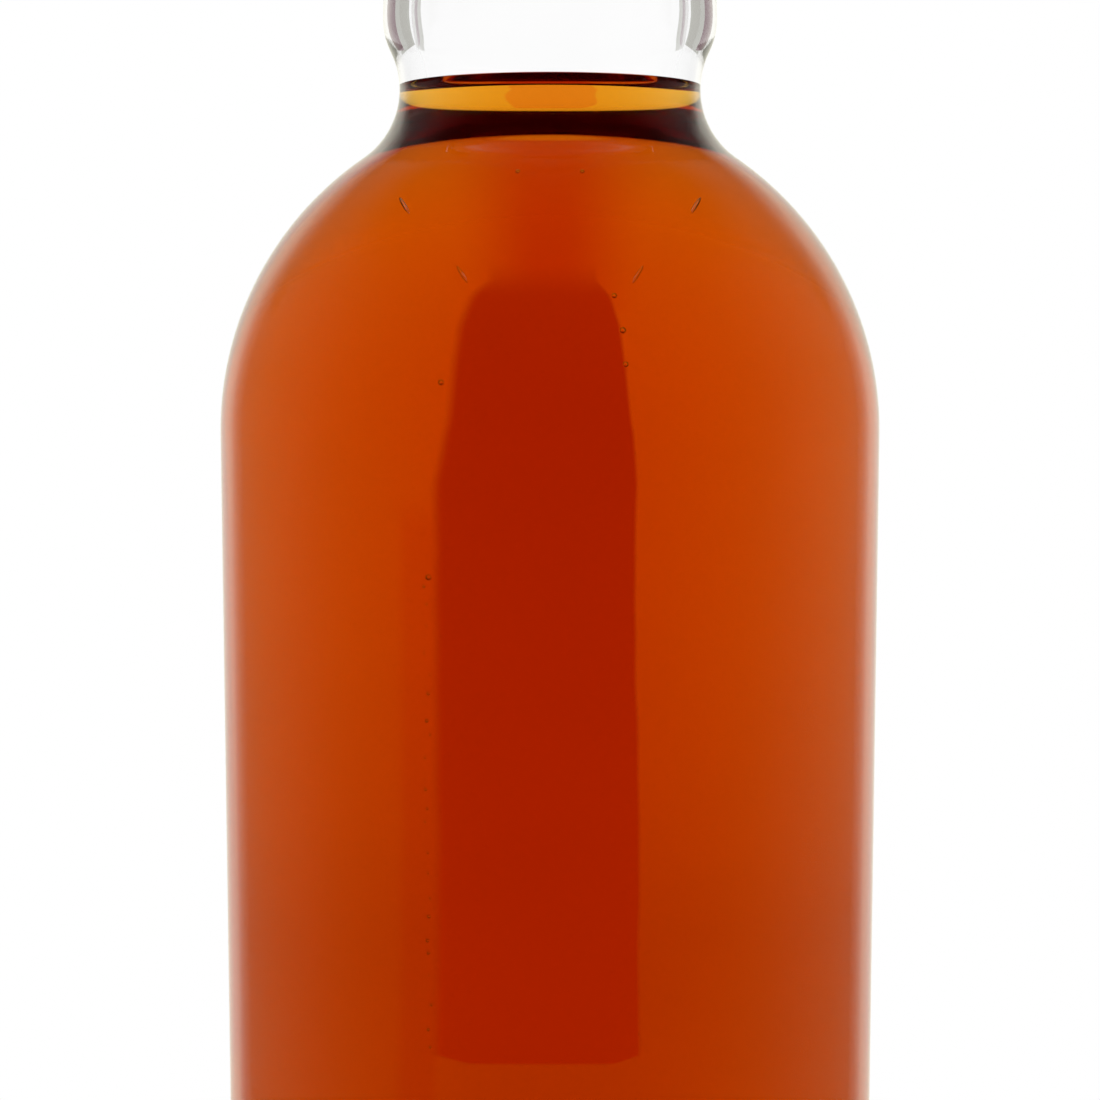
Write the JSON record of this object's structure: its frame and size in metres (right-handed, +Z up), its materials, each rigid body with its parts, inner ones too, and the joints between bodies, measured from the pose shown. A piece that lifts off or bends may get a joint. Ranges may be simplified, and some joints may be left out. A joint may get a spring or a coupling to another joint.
{
  "type": "whisky bottle",
  "caption": "Clear glass bottle with a domed shoulder and a bulbed neck, filled with amber whisky to the neck, closed by a cork stopper.",
  "frame": {"origin": "centre of the ring that the bottle stands on, at the level of the surface under it", "axes": "+Z up along the bottle's axis; the bottle is round, so X and Y are alike"},
  "size_m": [0.084, 0.084, 0.2573],
  "materials": {
    "glass": "polished",
    "whisky": "polished",
    "cork": "matte",
    "stained_wood": "satin"
  },
  "bodies": {
    "root": {"bottle_glass": "glass", "whisky": "whisky", "cork_shank": "cork", "stopper_head": "stained_wood"}
  },
  "joints": []
}
